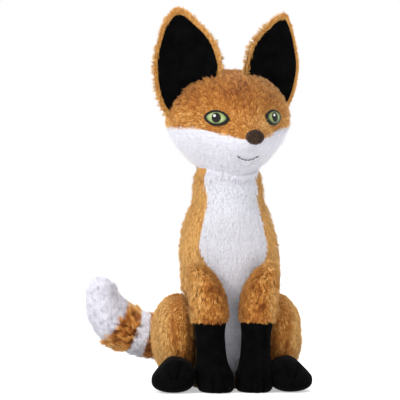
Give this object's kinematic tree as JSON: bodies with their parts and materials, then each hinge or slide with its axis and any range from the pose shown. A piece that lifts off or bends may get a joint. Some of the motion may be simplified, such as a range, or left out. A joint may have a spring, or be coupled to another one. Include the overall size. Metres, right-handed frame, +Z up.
{
  "type": "plush fox",
  "caption": "Seated long-pile plush fox with big ears, white face and bib, black paws and a banded tail; its head, ears, legs and tail bend at their seams.",
  "frame": {"origin": "on the flat panel that the fox sits on, on its middle line, at the height of the surface it sits on", "axes": "+Z up; the fox looks along -Y, so +X is its own left; at rest its head is turned 12 degrees to its left"},
  "size_m": [0.1779, 0.1594, 0.3336],
  "materials": {
    "orange_plush": "long-pile plush, rust orange with lighter tips",
    "white_plush": "long-pile plush, cool white",
    "brown_plush": "long-pile plush, red brown with orange tips",
    "black_velour": "short-pile velour, black",
    "eye_felt": "flat embroidered patch, green with a black pupil and edge",
    "nose_flock": "short brown flock",
    "filling": "loose fibre filling"
  },
  "bodies": {
    "torso": {"torso_cover": "orange_plush", "bib_panel": "white_plush", "base_panel": "orange_plush", "torso_stuffing": "filling"},
    "neck": {"neck_cover": "orange_plush", "neck_stuffing": "filling"},
    "head": {"head_cover": "orange_plush", "face_panel": "white_plush", "head_stuffing": "filling", "eye_left": "eye_felt", "eye_right": "eye_felt", "nose": "nose_flock"},
    "ear_left": {"ear_left_back": "orange_plush", "ear_left_lining": "black_velour"},
    "ear_right": {"ear_right_back": "orange_plush", "ear_right_lining": "black_velour"},
    "foreleg_left": {"foreleg_left_sleeve": "orange_plush", "foreleg_left_paw": "black_velour", "foreleg_left_stuffing": "filling"},
    "foreleg_right": {"foreleg_right_sleeve": "orange_plush", "foreleg_right_paw": "black_velour", "foreleg_right_stuffing": "filling"},
    "hindleg_left": {"haunch_left_cover": "orange_plush", "haunch_left_gusset": "orange_plush", "haunch_left_stuffing": "filling", "hind_paw_left_cover": "black_velour", "hind_paw_left_stuffing": "filling"},
    "hindleg_right": {"haunch_right_cover": "orange_plush", "haunch_right_gusset": "orange_plush", "haunch_right_stuffing": "filling", "hind_paw_right_cover": "black_velour", "hind_paw_right_stuffing": "filling"},
    "tail": {"tail_base": "brown_plush", "tail_white_band": "white_plush", "tail_brown_band": "brown_plush", "tail_tip": "white_plush", "tail_stuffing": "filling"}
  },
  "joints": [
    {"name": "head_nod", "type": "hinge", "parent": "torso", "child": "neck", "pos_m": [0, 0.002, 0.184], "axis": [1, 0, 0], "range_deg": [-7, 7], "stiffness_Nm_per_rad": 1.5},
    {"name": "head_turn", "type": "hinge", "parent": "neck", "child": "head", "pos_m": [0, 0.002, 0.184], "axis": [0, 0, 1], "range_deg": [-42, 18], "stiffness_Nm_per_rad": 0.2},
    {"name": "ear_left_flop", "type": "hinge", "parent": "head", "child": "ear_left", "pos_m": [0.03321, 0.00088, 0.26118], "axis": [0.691, 0.4214, -0.5873], "range_deg": [-7, 9], "stiffness_Nm_per_rad": 0.05},
    {"name": "ear_right_flop", "type": "hinge", "parent": "head", "child": "ear_right", "pos_m": [-0.02988, -0.01253, 0.26118], "axis": [0.8027, -0.1039, 0.5873], "range_deg": [-7, 9], "stiffness_Nm_per_rad": 0.05},
    {"name": "foreleg_left_swing", "type": "hinge", "parent": "torso", "child": "foreleg_left", "pos_m": [0.0224, -0.03804, 0.11], "axis": [-1, 0, 0], "range_deg": [0, 55], "stiffness_Nm_per_rad": 0.12},
    {"name": "foreleg_right_swing", "type": "hinge", "parent": "torso", "child": "foreleg_right", "pos_m": [-0.0224, -0.03804, 0.11], "axis": [-1, 0, 0], "range_deg": [0, 55], "stiffness_Nm_per_rad": 0.12},
    {"name": "hindleg_left_swing", "type": "hinge", "parent": "torso", "child": "hindleg_left", "pos_m": [0.0488, 0.012, 0.0415], "axis": [-1, 0, 0], "range_deg": [0, 20], "stiffness_Nm_per_rad": 0.15},
    {"name": "hindleg_right_swing", "type": "hinge", "parent": "torso", "child": "hindleg_right", "pos_m": [-0.0488, 0.012, 0.0415], "axis": [-1, 0, 0], "range_deg": [0, 20], "stiffness_Nm_per_rad": 0.15},
    {"name": "tail_swing", "type": "hinge", "parent": "torso", "child": "tail", "pos_m": [-0.004, 0.05586, 0.038], "axis": [0, 0, -1], "range_deg": [0, 70], "stiffness_Nm_per_rad": 0.15}
  ]
}
